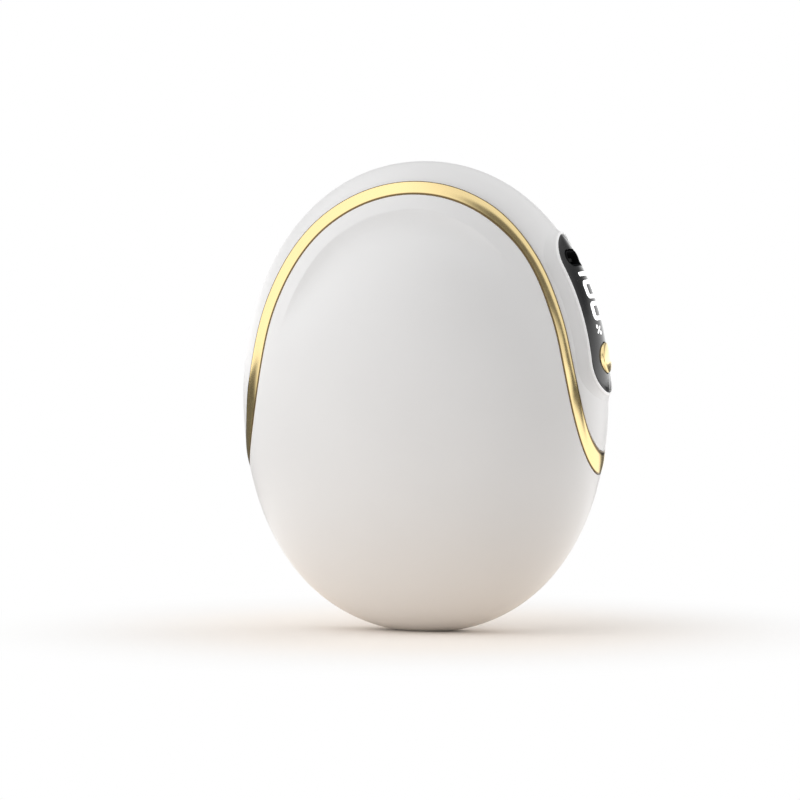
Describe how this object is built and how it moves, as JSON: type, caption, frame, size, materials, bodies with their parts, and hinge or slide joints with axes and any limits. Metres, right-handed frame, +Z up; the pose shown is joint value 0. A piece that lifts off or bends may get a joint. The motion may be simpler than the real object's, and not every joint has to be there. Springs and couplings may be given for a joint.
{
  "type": "rechargeable hand warmer",
  "caption": "Egg-shaped pocket hand warmer with a gold trim arch, a black side window with lit charge display, a charging socket and a domed power button.",
  "frame": {"origin": "centre of the small standing flat under the rounded lower end", "axes": "+Z up along the long axis, -Y towards the front face, +X towards the side with the display window"},
  "size_m": [0.0774, 0.04, 0.096],
  "materials": {
    "shell_white": "satin gloss moulding",
    "trim_gold": "polished pale gold anodising",
    "window_black": "high gloss smoked black",
    "digit_white": "lit white diffuser",
    "module_black": "matt moulded",
    "switch_grey": "matt moulded",
    "board_green": "satin solder mask",
    "socket_steel": "nickel plated",
    "frame_grey": "matt moulded",
    "cell_foil": "laminated foil pouch",
    "plate_metal": "mill finish sheet",
    "film_amber": "polyimide film",
    "foam_grey": "open-cell foam",
    "ferrite_grey": "moulded ferrite",
    "chip_tan": "fired ceramic",
    "lead_red": "insulated wire",
    "lead_white": "insulated wire"
  },
  "bodies": {
    "housing": {"front_shell": "shell_white", "rear_shell": "shell_white", "side_band": "shell_white", "trim_ring": "trim_gold", "display_lens": "window_black", "digit_diffuser": "digit_white", "led_module": "module_black", "usb_tongue": "module_black", "tact_switch": "module_black", "controller_chip": "module_black", "display_board": "board_green", "switch_board": "board_green", "main_board": "board_green", "usb_shell": "socket_steel", "frame_screws": "socket_steel", "board_screws": "socket_steel", "inner_frame": "frame_grey", "front_cell": "cell_foil", "rear_cell": "cell_foil", "front_heat_plate": "plate_metal", "rear_heat_plate": "plate_metal", "front_heating_film": "film_amber", "rear_heating_film": "film_amber", "front_foam_pad": "foam_grey", "rear_foam_pad": "foam_grey", "power_inductor": "ferrite_grey", "board_capacitors": "chip_tan", "temperature_sensors": "chip_tan", "battery_leads": "lead_red", "front_heater_leads": "lead_white", "rear_heater_leads": "lead_white", "link_leads": "lead_white", "switch_leads": "lead_white"},
    "button": {"power_button": "trim_gold", "switch_plunger": "switch_grey"}
  },
  "joints": [
    {"name": "button_press", "type": "slide", "parent": "housing", "child": "button", "axis": [-0.9926, 0, -0.1211], "range_m": [0, 0.0004], "stiffness_N_per_m": 900}
  ]
}
